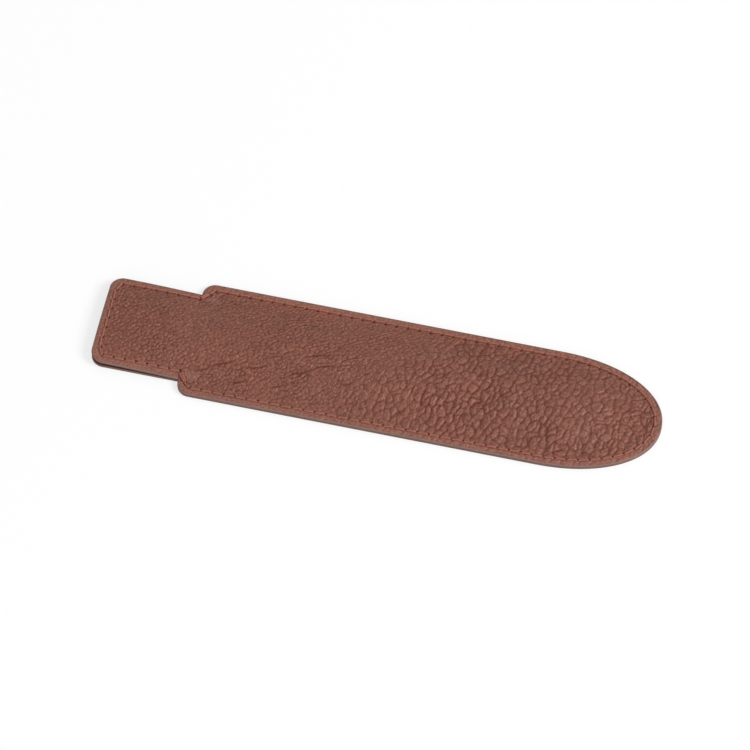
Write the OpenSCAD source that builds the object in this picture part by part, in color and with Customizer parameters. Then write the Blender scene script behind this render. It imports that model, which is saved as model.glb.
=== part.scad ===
// Single pen sleeve: two lined leather leaves sewn together round a narrow pocket.
// In front of the mouth each leaf goes on as a narrower tab that is free on three sides.
// X runs along the sleeve from the tab to the round end, Y across it, Z up from the back leaf's outside.

/* [Outline] */
// Length from the tab's free edge to the tip of the round end
sleeve_length = 180; // [160:1:200]
// Width across the pocket
body_width = 41.4; // [40.5:0.1:46]
// Length of the tab in front of the mouth
tab_length = 28.8; // [22:0.1:36]
// Width of the tab
tab_width = 32; // [28:0.1:33]
// Length of the rounded end
round_end_length = 35.8; // [26:0.1:44]
// Squareness of the rounded end, where 2 is an ellipse
round_end_power = 2.1; // [2:0.05:2.5]
// Radius of the two shoulders beside the tab
shoulder_radius = 4.1; // [3:0.1:4.2]
// Radius of the tab's two free corners
tab_corner_radius = 4.2; // [3:0.1:7]

/* [Leaves] */
// Thickness of the outer leather
leather_thickness = 0.6; // [0.5:0.05:1]
// Thickness of the lining
lining_thickness = 0.35; // [0.25:0.05:0.6]
// Thickness of the paint on the cut edges
edge_paint_thickness = 0.15; // [0.1:0.01:0.25]

/* [Pocket] */
// Height inside the pocket along its middle
pocket_height = 4.5; // [4.4:0.05:6]
// Width of the flat margin where the leaves lie on each other
seam_margin = 3.4; // [3:0.1:4]
// Gap between the tab leaves at the corners of the free edge
tab_gap = 1.2; // [0.9:0.05:2]
// Extra gap between the tab leaves at the middle of the free edge
tab_crown = 1; // [0.4:0.05:2]
// Gap in the front leaf and the back leaf at the fold lines
fold_gap = 0.05; // [0.03:0.01:0.1]

/* [Stitching] */
// Distance from the edge to the row of stitches
stitch_inset = 2.3; // [2:0.05:2.6]
// Distance from one stitch to the next
stitch_pitch = 3.63; // [3.2:0.01:4]
// Length of thread that shows between two needle holes
stitch_length = 2.8; // [2:0.05:3]
// Thickness of the top thread
thread_diameter = 0.45; // [0.3:0.01:0.5]
// Thickness of the bottom thread
bottom_thread_diameter = 0.22; // [0.16:0.01:0.24]
// Thickness of the doubled thread at the shoulders
backstitch_diameter = 0.5; // [0.4:0.01:0.6]
// Depth of the groove that the bottom thread lies in
groove_depth = 0.28; // [0.26:0.01:0.34]
// Width of the groove that the bottom thread lies in
groove_width = 1.3; // [1.2:0.05:1.5]

/* [Hidden] */

leaf_thickness = leather_thickness + lining_thickness;
body_half = body_width / 2;
tab_half = tab_width / 2;
x_tab_end = -sleeve_length / 2;
x_mouth = x_tab_end + tab_length;
x_tip = sleeve_length / 2;
x_round = x_tip - round_end_length;
x_shoulder = x_mouth + shoulder_radius;
y_shoulder = body_half - shoulder_radius;
x_tab_corner = x_tab_end + tab_corner_radius;
y_tab_corner = tab_half - tab_corner_radius;

// Half the width of the short straight stretch at the very tip
tip_half = 0.6;
// Share of the half width at which the front leaf starts to rise from the margin
rise_share = (body_half - seam_margin) / body_half;
// Fullness of the pocket's lens shape, where 1 is a plain arch and more is softer at the margin
lens_power = 1.5;
// Top thread lies this far above the curved leather, so that the two never cut each other
thread_lift = 0.02;
// The thicker backstitches lie across the foot of the rise, so they stand off a little more
backstitch_lift = 0.06;

arc_steps = 5;
round_steps = 12;
straight_steps = 5;
bar_sides = 16;

leather_colour = [0.5, 0.32, 0.28];
lining_colour = [0.25, 0.17, 0.14];
paint_colour = [0.44, 0.33, 0.3];
thread_colour = [0.63, 0.35, 0.28];

// Outlines: each is the half of an outline on the +Y side, moved inwards by inset

function arc_point(centre, radius, angle) = centre + radius * [cos(angle), sin(angle)];

function shoulder_arc(inset, first_angle = 180) = [
    for (i = [0 : arc_steps])
        arc_point([x_shoulder, y_shoulder], shoulder_radius - inset,
                  first_angle + (90 - first_angle) * i / arc_steps)
];

function straight_side(inset) = [
    for (i = [1 : straight_steps - 1])
        [x_shoulder + (x_round - x_shoulder) * i / straight_steps, body_half - inset]
];

// A superellipse: angle 0 is where the straight side ends, angle 90 is the tip
function round_point(angle) = [
    x_round + round_end_length * pow(sin(angle), 2 / round_end_power),
    body_half * pow(cos(angle), 2 / round_end_power)
];

function round_normal(angle) =
    let (along = pow(sin(angle), 2 - 2 / round_end_power) / round_end_length,
         across = pow(cos(angle), 2 - 2 / round_end_power) / body_half)
    [along, across] / norm([along, across]);

function round_end(inset) = concat(
    [for (i = [0 : round_steps - 1])
        let (angle = 90 * i / round_steps)
        round_point(angle) - inset * round_normal(angle)],
    [[x_tip - inset, tip_half]]
);

function body_side(inset) = concat(
    [[x_mouth, tab_half - inset]],
    shoulder_arc(inset), straight_side(inset), round_end(inset)
);

// The tab's half outline runs from the free edge to the fold
function tab_side(inset) = concat(
    [for (i = [0 : arc_steps])
        arc_point([x_tab_corner, y_tab_corner], tab_corner_radius - inset, 180 - 90 * i / arc_steps)],
    [for (i = [1 : arc_steps])
        [x_tab_corner + (x_mouth - fold_gap - x_tab_corner) * i / arc_steps, tab_half - inset]]
);

function mirrored(points) = [for (i = [len(points) - 1 : -1 : 0]) [points[i][0], -points[i][1]]];

function closed_outline(side) = concat(side, mirrored(side));

// Heights: how far the front leaf stands above the back leaf

// 1 along the middle of the pocket, falling in a lens shape to 0 at the margin
function lens(share) = share >= rise_share ? 0 : pow(1 - pow(share / rise_share, 2), lens_power);

function edge_share(x, y) =
    let (beyond = max(0, (x - x_round) / round_end_length))
    pow(pow(beyond, round_end_power) + pow(abs(y) / body_half, round_end_power), 1 / round_end_power);

function body_rise(x, y) = pocket_height * lens(edge_share(x, y));

function smooth(t) = t * t * (3 - 2 * t);

function tab_rise(x, y) =
    let (t = (x_mouth - x) / tab_length)
    body_rise(x_mouth, y) * (1 - smooth(t)) + tab_gap * sin(90 * t)
    + tab_crown * (1 - pow(y / tab_half, 2)) * smooth(t);

function body_inside(x, y) = leaf_thickness + body_rise(x, y);
function body_bond(x, y) = body_inside(x, y) + lining_thickness;
function body_top(x, y) = body_inside(x, y) + leaf_thickness;
function tab_inside(x, y) = leaf_thickness + tab_rise(x, y);
function tab_bond(x, y) = tab_inside(x, y) + lining_thickness;
function tab_top(x, y) = tab_inside(x, y) + leaf_thickness;

// Panels: a curved sheet between two heights, one row of points for each point of a half outline

across = [-1, -0.86, -0.73, -0.58, -0.43, -0.28, -0.14, 0, 0.14, 0.28, 0.43, 0.58, 0.73, 0.86, 1];
last_across = len(across) - 1;

function sheet_points(side, height) = [
    for (row = side)
        for (share = across)
            [row[0], share * row[1], height(row[0], share * row[1])]
];

module curved_sheet(side, low, high) {
    rows = len(side);
    width = last_across + 1;
    under = rows * width;
    function top(i, j) = i * width + j;
    function bottom(i, j) = under + i * width + j;
    polyhedron(
        points = concat(sheet_points(side, high), sheet_points(side, low)),
        faces = concat(
            [for (i = [0 : rows - 2], j = [0 : last_across - 1])
                each [[top(i, j), top(i, j + 1), top(i + 1, j + 1)],
                      [top(i, j), top(i + 1, j + 1), top(i + 1, j)],
                      [bottom(i, j), bottom(i + 1, j + 1), bottom(i, j + 1)],
                      [bottom(i, j), bottom(i + 1, j), bottom(i + 1, j + 1)]]],
            [for (i = [0 : rows - 2])
                each [[top(i, 0), top(i + 1, 0), bottom(i + 1, 0), bottom(i, 0)],
                      [top(i + 1, last_across), top(i, last_across),
                       bottom(i, last_across), bottom(i + 1, last_across)]]],
            [for (j = [0 : last_across - 1])
                each [[top(0, j + 1), top(0, j), bottom(0, j), bottom(0, j + 1)],
                      [top(rows - 1, j), top(rows - 1, j + 1),
                       bottom(rows - 1, j + 1), bottom(rows - 1, j)]]]
        )
    );
}

module flat_sheet(side, low, high) {
    translate([0, 0, low])
        linear_extrude(high - low)
            polygon(closed_outline(side));
}

// Edge paint: a thin wall round a leaf's cut edge

module flat_edge(outer, inner, low, high) {
    translate([0, 0, low])
        linear_extrude(high - low)
            difference() {
                polygon(closed_outline(outer));
                polygon(closed_outline(inner));
            }
}

// The whole U of a tab's edge, with the same points across the free edge as its curved sheet has
function tab_edge(side) = concat(
    [for (i = [len(side) - 1 : -1 : 0]) side[i]],
    [for (j = [last_across - 1 : -1 : 1]) [side[0][0], across[j] * side[0][1]]],
    [for (row = side) [row[0], -row[1]]]
);

module curved_edge(outer, inner, low, high) {
    outside = tab_edge(outer);
    inside = tab_edge(inner);
    last = len(inside) - 1;
    polyhedron(
        points = [
            for (i = [0 : last])
                let (z_low = low(inside[i][0], inside[i][1]), z_high = high(inside[i][0], inside[i][1]))
                each [[inside[i][0], inside[i][1], z_low], [outside[i][0], outside[i][1], z_low],
                      [outside[i][0], outside[i][1], z_high], [inside[i][0], inside[i][1], z_high]]
        ],
        faces = concat(
            [[0, 1, 2, 3], [4 * last + 3, 4 * last + 2, 4 * last + 1, 4 * last]],
            [for (i = [0 : last - 1], k = [0 : 3])
                let (a = 4 * i + k, b = 4 * i + (k + 1) % 4)
                each [[a, a + 4, b], [b, a + 4, b + 4]]]
        )
    );
}

// Stitches: straight bars of thread, evenly spaced along a path

function path_lengths(path, i = 0, sum = 0) =
    i == len(path) - 1 ? [sum]
    : concat([sum], path_lengths(path, i + 1, sum + norm(path[i + 1] - path[i])));

function path_point(path, lengths, distance, i = 0) =
    i < len(path) - 2 && distance > lengths[i + 1] ? path_point(path, lengths, distance, i + 1)
    : path[i] + (path[i + 1] - path[i]) * (distance - lengths[i]) / (lengths[i + 1] - lengths[i]);

module thread_bar(from, to, diameter) {
    run = to - from;
    translate(from)
        rotate([0, acos(run[2] / norm(run)), atan2(run[1], run[0])])
            cylinder(h = norm(run), d = diameter, $fn = bar_sides);
}

// side is +1 where the thread lies above the surface and -1 where it lies below it
module stitches(path, height, diameter, side = 1, lift = 0) {
    lengths = path_lengths(path);
    total = lengths[len(lengths) - 1];
    count = round(total / stitch_pitch);
    pitch = total / count;
    for (i = [0 : count - 1]) {
        first = path_point(path, lengths, (i + 0.5) * pitch - stitch_length / 2);
        second = path_point(path, lengths, (i + 0.5) * pitch + stitch_length / 2);
        raise = side * (diameter / 2 + lift);
        thread_bar([first[0], first[1], height(first[0], first[1]) + raise],
                   [second[0], second[1], height(second[0], second[1]) + raise], diameter);
    }
}

// From one shoulder round the body to the other
function seam_line(inset) = closed_outline(
    concat(shoulder_arc(inset, 135), straight_side(inset), round_end(inset)));
seam_path = seam_line(stitch_inset);

// Round the three free sides of a tab
function tab_line(inset) =
    let (side = tab_side(inset))
    closed_outline([for (i = [len(side) - 1 : -1 : 0]) side[i]]);
tab_path = tab_line(stitch_inset);

// Bottom thread of the back leaf and the seam: it touches the roof of its groove
function groove_roof(x, y) = groove_depth;
function back_inside(x, y) = leaf_thickness;

// The groove is a band between two lines, cut up into the underside
module groove(outer_line, inner_line) {
    translate([0, 0, -groove_depth])
        linear_extrude(2 * groove_depth)
            polygon(concat(outer_line, [for (i = [len(inner_line) - 1 : -1 : 0]) inner_line[i]]));
}

// The doubled stitch that locks the seam where the shoulder meets the tab
module backstitch(side) {
    start = [x_mouth + backstitch_diameter, tab_half - stitch_inset];
    finish = seam_path[0];
    run = (finish - start) / norm(finish - start);
    beside = [-run[1], run[0]] * backstitch_diameter / 2;
    for (shift = [-1, 1]) {
        first = start + shift * beside;
        second = start + run * stitch_length + shift * beside;
        raise = backstitch_diameter / 2 + backstitch_lift;
        thread_bar([first[0], side * first[1], body_top(first[0], first[1]) + raise],
                   [second[0], side * second[1], body_top(second[0], second[1]) + raise],
                   backstitch_diameter);
    }
}

// The pocket body

module front_leather() {
    color(leather_colour)
        curved_sheet(body_side(edge_paint_thickness),
                     function (x, y) body_bond(x, y), function (x, y) body_top(x, y));
}

module front_lining() {
    color(lining_colour)
        curved_sheet(body_side(edge_paint_thickness),
                     function (x, y) body_inside(x, y), function (x, y) body_bond(x, y));
}

module back_leather() {
    color(leather_colour)
        difference() {
            flat_sheet(body_side(edge_paint_thickness), 0, leather_thickness);
            groove(seam_line(stitch_inset - groove_width / 2), seam_line(stitch_inset + groove_width / 2));
        }
}

module back_lining() {
    color(lining_colour)
        flat_sheet(body_side(edge_paint_thickness), leather_thickness, leaf_thickness);
}

module body_edge_paint() {
    color(paint_colour)
        flat_edge(body_side(0), body_side(edge_paint_thickness), 0, 2 * leaf_thickness);
}

module seam_top_thread() {
    color(thread_colour)
        stitches(seam_path, function (x, y) body_top(x, y), thread_diameter, 1, thread_lift);
}

module seam_bottom_thread() {
    color(thread_colour)
        stitches(seam_path, function (x, y) groove_roof(x, y), bottom_thread_diameter, -1);
}

module left_shoulder_backstitch() {
    color(thread_colour)
        backstitch(1);
}

module right_shoulder_backstitch() {
    color(thread_colour)
        backstitch(-1);
}

// The front tab

module front_tab_leather() {
    color(leather_colour)
        curved_sheet(tab_side(edge_paint_thickness),
                     function (x, y) tab_bond(x, y), function (x, y) tab_top(x, y));
}

module front_tab_lining() {
    color(lining_colour)
        curved_sheet(tab_side(edge_paint_thickness),
                     function (x, y) tab_inside(x, y), function (x, y) tab_bond(x, y));
}

module front_tab_edge_paint() {
    color(paint_colour)
        curved_edge(tab_side(0), tab_side(edge_paint_thickness),
                    function (x, y) tab_inside(x, y), function (x, y) tab_top(x, y));
}

module front_tab_top_thread() {
    color(thread_colour)
        stitches(tab_path, function (x, y) tab_top(x, y), thread_diameter, 1, thread_lift);
}

module front_tab_bottom_thread() {
    color(thread_colour)
        stitches(tab_path, function (x, y) tab_inside(x, y), bottom_thread_diameter, -1, thread_lift);
}

// The back tab

module back_tab_leather() {
    color(leather_colour)
        difference() {
            flat_sheet(tab_side(edge_paint_thickness), 0, leather_thickness);
            groove(tab_line(stitch_inset - groove_width / 2), tab_line(stitch_inset + groove_width / 2));
        }
}

module back_tab_lining() {
    color(lining_colour)
        flat_sheet(tab_side(edge_paint_thickness), leather_thickness, leaf_thickness);
}

module back_tab_edge_paint() {
    color(paint_colour)
        flat_edge(tab_side(0), tab_side(edge_paint_thickness), 0, leaf_thickness);
}

module back_tab_top_thread() {
    color(thread_colour)
        stitches(tab_path, function (x, y) back_inside(x, y), bottom_thread_diameter, 1);
}

module back_tab_bottom_thread() {
    color(thread_colour)
        stitches(tab_path, function (x, y) groove_roof(x, y), bottom_thread_diameter, -1);
}

front_leather();
front_lining();
back_leather();
back_lining();
body_edge_paint();
seam_top_thread();
seam_bottom_thread();
left_shoulder_backstitch();
right_shoulder_backstitch();
front_tab_leather();
front_tab_lining();
front_tab_edge_paint();
front_tab_top_thread();
front_tab_bottom_thread();
back_tab_leather();
back_tab_lining();
back_tab_edge_paint();
back_tab_top_thread();
back_tab_bottom_thread();
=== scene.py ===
# Single pen sleeve: pebbled brown leather, rust stitching and painted edges.
# The dictionaries hold millimetres and degrees; meshes are turned into metres when they are made.
import math

import bmesh
import bpy
import numpy as np
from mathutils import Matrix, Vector
from mathutils.kdtree import KDTree


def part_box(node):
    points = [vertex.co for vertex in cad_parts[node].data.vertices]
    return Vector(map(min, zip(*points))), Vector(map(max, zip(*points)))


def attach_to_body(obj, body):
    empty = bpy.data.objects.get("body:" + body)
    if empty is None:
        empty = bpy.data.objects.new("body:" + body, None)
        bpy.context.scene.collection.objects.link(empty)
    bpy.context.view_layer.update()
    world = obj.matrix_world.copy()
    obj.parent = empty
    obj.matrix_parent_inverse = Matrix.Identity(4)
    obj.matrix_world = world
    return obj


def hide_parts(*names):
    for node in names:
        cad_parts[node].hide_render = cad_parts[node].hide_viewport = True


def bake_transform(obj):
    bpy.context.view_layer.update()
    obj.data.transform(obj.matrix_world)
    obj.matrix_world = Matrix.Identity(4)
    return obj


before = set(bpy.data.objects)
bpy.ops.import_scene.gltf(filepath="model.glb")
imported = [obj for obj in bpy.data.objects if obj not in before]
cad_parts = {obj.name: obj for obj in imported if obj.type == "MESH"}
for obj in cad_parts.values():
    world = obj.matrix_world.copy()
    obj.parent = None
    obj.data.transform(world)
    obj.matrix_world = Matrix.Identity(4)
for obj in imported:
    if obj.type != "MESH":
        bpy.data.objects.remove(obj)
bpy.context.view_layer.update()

print("frame loaded:", len(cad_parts), "nodes")


# Sizes of the sleeve: the first ones are read from the frame, the shapes between them are written here

def nodeBox(name):
    low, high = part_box(name)
    return [c * 1000 for c in low], [c * 1000 for c in high]


paintLow, paintHigh = nodeBox("body_edge_paint")
tabLow, tabHigh = nodeBox("back_tab_edge_paint")
backHigh = nodeBox("back_leather")[1]
frontHigh = nodeBox("front_leather")[1]

sleeve = {
    "mouthX": paintLow[0],              # fold line between the pocket and the tab
    "tipX": paintHigh[0],               # tip of the round end
    "bodyHalf": paintHigh[1],
    "tabEndX": tabLow[0],
    "tabHalf": tabHigh[1],
    "leaf": tabHigh[2],                 # thickness of one lined leaf
    "leather": backHigh[2],
    "paint": paintHigh[1] - backHigh[1],
    "pocketHeight": frontHigh[2] - 2 * tabHigh[2],
    "roundLength": 35.8,
    "roundPower": 2.1,                  # 2 is an ellipse, more is squarer
    "roundEdge": 46,                    # about the length of the round end's edge on one side
    "shoulderRadius": 4.1,
    "tabCorner": 4.2,
    "tipHalf": 0.6,                     # half of the short flat at the very tip
    "seamMargin": 3.4,                  # the pocket begins to rise this far from the edge
    "lensPower": 1.5,
    "tabGap": 1.2,                      # between the leaves at the tab's free end
    "tabCrown": 1.0,
    "stitchInset": 2.3,
    "stitchPitch": 3.63,
    "backstitchShift": 0.2,             # how far a doubled stitch starts beyond the tab's row
    "lineStep": 0.3,                    # between the points of a stitch line
}
sleeve["roundX"] = sleeve["tipX"] - sleeve["roundLength"]
sleeve["tabLength"] = sleeve["mouthX"] - sleeve["tabEndX"]

# A quarter circle's length for a radius of 1, rounded up
quarterArc = 1.6


def arcPoints(centreX, centreY, radius, firstAngle, lastAngle, steps):
    angles = np.radians(np.linspace(firstAngle, lastAngle, steps + 1))
    normals = -np.column_stack([np.cos(angles), np.sin(angles)])
    return np.array([centreX, centreY]) - radius * normals, normals


def straightPoints(start, end, normal, step):
    count = max(1, int(round(math.dist(start, end) / step)))
    share = np.linspace(0, 1, count + 1)[:, None]
    points = np.array(start) * (1 - share) + np.array(end) * share
    return points, np.tile(np.array(normal, float), (count + 1, 1))


def roundPoints(steps):
    angles = np.radians(np.linspace(0, 90, steps + 1))
    power = sleeve["roundPower"]
    cosines, sines = np.cos(angles).clip(0), np.sin(angles)
    points = np.column_stack([sleeve["roundX"] + sleeve["roundLength"] * sines ** (2 / power),
                              sleeve["bodyHalf"] * cosines ** (2 / power)])
    outward = np.column_stack([sines ** (2 - 2 / power) / sleeve["roundLength"],
                               cosines ** (2 - 2 / power) / sleeve["bodyHalf"]])
    outward /= np.linalg.norm(outward, axis=1)[:, None]
    # Points that would crowd the flat at the tip are left out
    wide = points[:, 1] > sleeve["tipHalf"] * 1.3
    tip = [sleeve["tipX"], sleeve["tipHalf"]]
    return np.vstack([points[wide], tip]), np.vstack([-outward[wide], [-1, 0]])


# Half outlines on the +Y side as (points, inward normals), in the order of growing x

def tabHalfOutline(step):
    radius = sleeve["tabCorner"]
    cornerX, cornerY = sleeve["tabEndX"] + radius, sleeve["tabHalf"] - radius
    corner = arcPoints(cornerX, cornerY, radius, 180, 90, max(4, int(radius * quarterArc / step)))
    side = straightPoints((cornerX, sleeve["tabHalf"]), (sleeve["mouthX"], sleeve["tabHalf"]), (0, -1), step)
    return tuple(np.vstack([a, b[1:]]) for a, b in zip(corner, side))


def bodyHalfOutline(step):
    radius = sleeve["shoulderRadius"]
    centreX, centreY = sleeve["mouthX"] + radius, sleeve["bodyHalf"] - radius
    shoulder = arcPoints(centreX, centreY, radius, 180, 90, max(4, int(radius * quarterArc / step)))
    half = sleeve["bodyHalf"]
    side = straightPoints((centreX, half), (sleeve["roundX"], half), (0, -1), step)
    end = roundPoints(max(12, int(sleeve["roundEdge"] / step)))
    return tuple(np.vstack([a, b[1:], c[1:]]) for a, b, c in zip(shoulder, side, end))


def insetBy(outline, inset):
    points, normals = outline
    return points + normals * inset


# Heights of the leaves above the table, as in the frame: the pocket's lens shape and the tab's slight gape

def edgeShare(x, y):
    power = sleeve["roundPower"]
    beyond = np.maximum(0, (x - sleeve["roundX"]) / sleeve["roundLength"])
    return (beyond ** power + (np.abs(y) / sleeve["bodyHalf"]) ** power) ** (1 / power)


def pocketRise(x, y):
    riseShare = (sleeve["bodyHalf"] - sleeve["seamMargin"]) / sleeve["bodyHalf"]
    inside = np.clip(1 - (edgeShare(x, y) / riseShare) ** 2, 0, 1)
    return sleeve["pocketHeight"] * inside ** sleeve["lensPower"]


def smoothShare(t):
    t = np.clip(t, 0, 1)
    return t * t * (3 - 2 * t)


def frontRise(x, y):
    t = np.clip((sleeve["mouthX"] - x) / sleeve["tabLength"], 0, 1)
    tab = (pocketRise(np.full_like(x, sleeve["mouthX"]), y) * (1 - smoothShare(t))
           + sleeve["tabGap"] * np.sin(t * math.pi / 2)
           + sleeve["tabCrown"] * (1 - (y / sleeve["tabHalf"]) ** 2) * smoothShare(t))
    return np.where(x < sleeve["mouthX"], tab, pocketRise(x, y))


def frontInside(x, y):
    return sleeve["leaf"] + frontRise(x, y)


def frontBond(x, y):
    return frontInside(x, y) + sleeve["leaf"] - sleeve["leather"]


def frontTop(x, y):
    return frontInside(x, y) + sleeve["leaf"]


def atHeight(height):
    return lambda x, y: np.full_like(x, height)


# Seeded noise on a grid, the same on every run

def latticeRandom(i, j, seed):
    h = (i.astype(np.int64) * 73856093) ^ (j.astype(np.int64) * 19349663) ^ (seed * 83492791)
    h = (h ^ (h >> 13)) * 1274126177 & 0x7FFFFFFF
    h = (h ^ (h >> 16)) * 668265263 & 0x7FFFFFFF
    return (h ^ (h >> 15)) / 0x7FFFFFFF


def valueNoise(x, y, size, seed):
    u, v = x / size, y / size
    i, j = np.floor(u), np.floor(v)
    a, b = smoothShare(u - i), smoothShare(v - j)
    low = latticeRandom(i, j, seed) * (1 - a) + latticeRandom(i + 1, j, seed) * a
    high = latticeRandom(i, j + 1, seed) * (1 - a) + latticeRandom(i + 1, j + 1, seed) * a
    return low * (1 - b) + high * b - 0.5


# Leather grain: rounded pebbles with creases between them, in three sizes
grain = {
    "fine": {"size": 1.2, "stretch": 1.15, "lean": 35, "reach": 0.6, "swell": 0.35, "crease": 0.05,
             "creaseWidth": 0.16, "tilt": 0.12, "seed": 11},
    "coarse": {"size": 2.15, "stretch": 1.28, "lean": 72, "reach": 0.6, "swell": 0.6, "crease": 0.1,
               "creaseWidth": 0.12, "tilt": 0.2, "seed": 29},
    "small": {"size": 0.72, "stretch": 1.25, "lean": 75, "reach": 0.6, "swell": 0.2, "crease": 0.02,
              "creaseWidth": 0.18, "tilt": 0.08, "seed": 47},
    "jitter": 0.9,
    "warp": 0.3,             # how crooked the borders are, as a share of a pebble
    "warpSize": 1.2,
    "middle": 0.8,           # mean height of a pebble, as a share of its swell
    "faintest": 0.3,         # the faintest crease, as a share of the strongest
    "crosswise": 0.35,       # strength of a crease that runs across the pebbles' length
    "coarseFromX": 2.0,      # where the fine grain gives way to the coarse one, along the middle
    "coarseSlant": 0.9,      # how much sooner that happens at the near side
    "changeWidth": 26.0,
    "fineLoss": 0.55,        # how much of the fine grain goes where the coarse one is full
    "rimFrom": 0.25,         # the lighter rim of a pebble, partly rubbed wear and partly a painted highlight, from its border
    "rimWidth": 0.11,
    "patchSize": 9.0,        # stronger and weaker patches
    "patchAmount": 0.5,
    "smallOnFine": 0.6,      # how much of the small pebbles' height is left on the fine grain
    "smallCrease": 0.45,
    "smallCrown": 0.25,
}


def pebbleSite(i, j, seed):
    jitter = grain["jitter"]
    return (i + 0.5 + jitter * (latticeRandom(i, j, seed) - 0.5),
            j + 0.5 + jitter * (latticeRandom(i, j, seed + 5) - 0.5), latticeRandom(i, j, seed + 9))


def pebbleField(x, y, pebble):
    size, seed = pebble["size"], pebble["seed"]
    warp, warpSize = grain["warp"] * size * 2, size * grain["warpSize"]
    wx = x + warp * valueNoise(x, y, warpSize, seed + 1)
    wy = y + warp * valueNoise(x, y, warpSize, seed + 2)
    lean = math.radians(pebble["lean"])
    u = (wx * math.cos(lean) + wy * math.sin(lean)) / (size * pebble["stretch"])
    v = (wy * math.cos(lean) - wx * math.sin(lean)) / size
    i0, j0 = np.floor(u), np.floor(v)
    far = 9.0
    near, own = np.full(x.shape, far), [np.zeros_like(u) for _ in range(3)]
    for di in (-1, 0, 1):
        for dj in (-1, 0, 1):
            site = pebbleSite(i0 + di, j0 + dj, seed)
            distance = (site[0] - u) ** 2 + (site[1] - v) ** 2
            closer = distance < near
            near[closer] = distance[closer]
            for kept, value in zip(own, site):
                kept[closer] = value[closer]
    flat, uncreased, border = np.ones_like(u), np.ones_like(u), np.full(x.shape, far)
    for di in range(-2, 3):
        for dj in range(-2, 3):
            site = pebbleSite(i0 + di, j0 + dj, seed)
            apart = np.hypot(site[0] - own[0], site[1] - own[1])
            other = apart > 1e-6
            apart = np.maximum(apart, 1e-6)
            b = ((site[0] - u) ** 2 + (site[1] - v) ** 2 - near) / (2 * apart)
            b = np.where(other, np.maximum(b, 0), far)
            along = np.abs(site[1] - own[1]) / apart
            # The same random share on both sides of a border
            chance = (own[2] + site[2]) * 7.31 % 1
            strength = grain["faintest"] + (1 - grain["faintest"]) * chance ** 1.5
            strength = strength * (grain["crosswise"] + (1 - grain["crosswise"]) * along)
            flat *= 1 - strength * np.clip(1 - b / pebble["reach"], 0, 1) ** 2
            uncreased *= 1 - strength * np.exp(-(b / pebble["creaseWidth"]) ** 2)
            border = np.minimum(border, b)
    # Each pebble is tilted in a direction of its own, which is an angle of several turns
    direction = own[2] * 50
    tilt = (u - own[0]) * np.cos(direction) + (v - own[1]) * np.sin(direction)
    height = pebble["swell"] * (flat - grain["middle"]) - pebble["crease"] * (1 - uncreased)
    height += pebble["tilt"] * tilt
    # The rim of each pebble, just above its crease, is painted lighter than its top: partly rubbed wear,
    # partly a painted highlight where the rims catch the light
    rim = np.exp(-((border - grain["rimFrom"]) / grain["rimWidth"]) ** 2)
    return height, 1 - uncreased, rim * own[2]


def leatherRelief(x, y, shift):
    # shift moves the pattern, so that the two leaves don't carry the same pebbles
    sx, sy = x + shift, y + shift * 0.37
    fromChange = x - grain["coarseFromX"] - grain["coarseSlant"] * y
    coarseness = smoothShare(fromChange / grain["changeWidth"] + 0.5)
    fine, coarse, small = [pebbleField(sx, sy, grain[name]) for name in ("fine", "coarse", "small")]
    patchy = 1 + grain["patchAmount"] * valueNoise(sx, sy, grain["patchSize"], 71)
    mixed = [fine[k] * (1 - grain["fineLoss"] * coarseness) + coarse[k] * coarseness for k in range(3)]
    smallShare = grain["smallOnFine"] + (1 - grain["smallOnFine"]) * coarseness
    height = mixed[0] * patchy + small[0] * smallShare
    crease = np.maximum(mixed[1] * patchy, grain["smallCrease"] * small[1])
    rimWearAndPaintedHighlight = (1 - grain["smallCrown"]) * mixed[2] + grain["smallCrown"] * small[2]
    return height, np.clip(crease, 0, 1), np.clip(rimWearAndPaintedHighlight, 0, 1)


# Long soft wrinkles where the front leaf has been pressed, as (x, y, length, depth)
wrinkles = {
    "direction": 17.0,
    "width": 0.3,
    "tone": 4.4,             # how dark the painted shade in a wrinkle is for its depth
    "floor": 0.5,            # no wrinkle goes deeper than this
    "meander": 1.0,
    "meanderLength": 3.0,
    "places": [(-54, -11.5, 8, 0.2), (-49, -9.2, 10, 0.24), (-43, -13.4, 9, 0.22), (-38, -8.0, 10, 0.22),
               (-33, -4.2, 7, 0.18), (-30, -12.2, 9, 0.22), (-24, -7.0, 10, 0.24), (-20, -0.6, 11, 0.25),
               (-17, -3.6, 9, 0.24), (-9, -7.8, 8, 0.2)],
}


def wrinkleDepth(x, y):
    turn = math.radians(wrinkles["direction"])
    total = np.zeros_like(x)
    for placeX, placeY, length, depth in wrinkles["places"]:
        along = (x - placeX) * math.cos(turn) + (y - placeY) * math.sin(turn)
        across = (y - placeY) * math.cos(turn) - (x - placeX) * math.sin(turn)
        bends = valueNoise(along, along * 0 + placeX, wrinkles["meanderLength"], 5)
        across = across + wrinkles["meander"] * bends
        fade = np.clip(1 - (2 * along / length) ** 2, 0, 1)
        total = np.maximum(total, depth * fade * np.exp(-(across / wrinkles["width"]) ** 2))
    return total


# Stitch lines as lists of points, evenly spaced needle holes along them

def polylineLengths(points):
    return np.concatenate([[0], np.cumsum(np.linalg.norm(np.diff(points, axis=0), axis=1))])


def alongPolyline(points, distances):
    lengths = polylineLengths(points)
    return np.column_stack([np.interp(distances, lengths, points[:, k]) for k in range(points.shape[1])])


def seamLine():
    line = insetBy(bodyHalfOutline(sleeve["lineStep"]), sleeve["stitchInset"])
    return np.vstack([line, line[::-1] * [1, -1]])


def tabLine():
    line = insetBy(tabHalfOutline(sleeve["lineStep"]), sleeve["stitchInset"])
    return np.vstack([line[::-1] * [1, -1], line])


def needleHoles(line, firstStitch=0.0):
    total = polylineLengths(line)[-1]
    count = int(round((total - 2 * firstStitch) / sleeve["stitchPitch"]))
    places = np.linspace(firstStitch, total - firstStitch, count + 1)
    if firstStitch:
        places = np.concatenate([[0], places, [total]])
    return alongPolyline(line, places)


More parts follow.
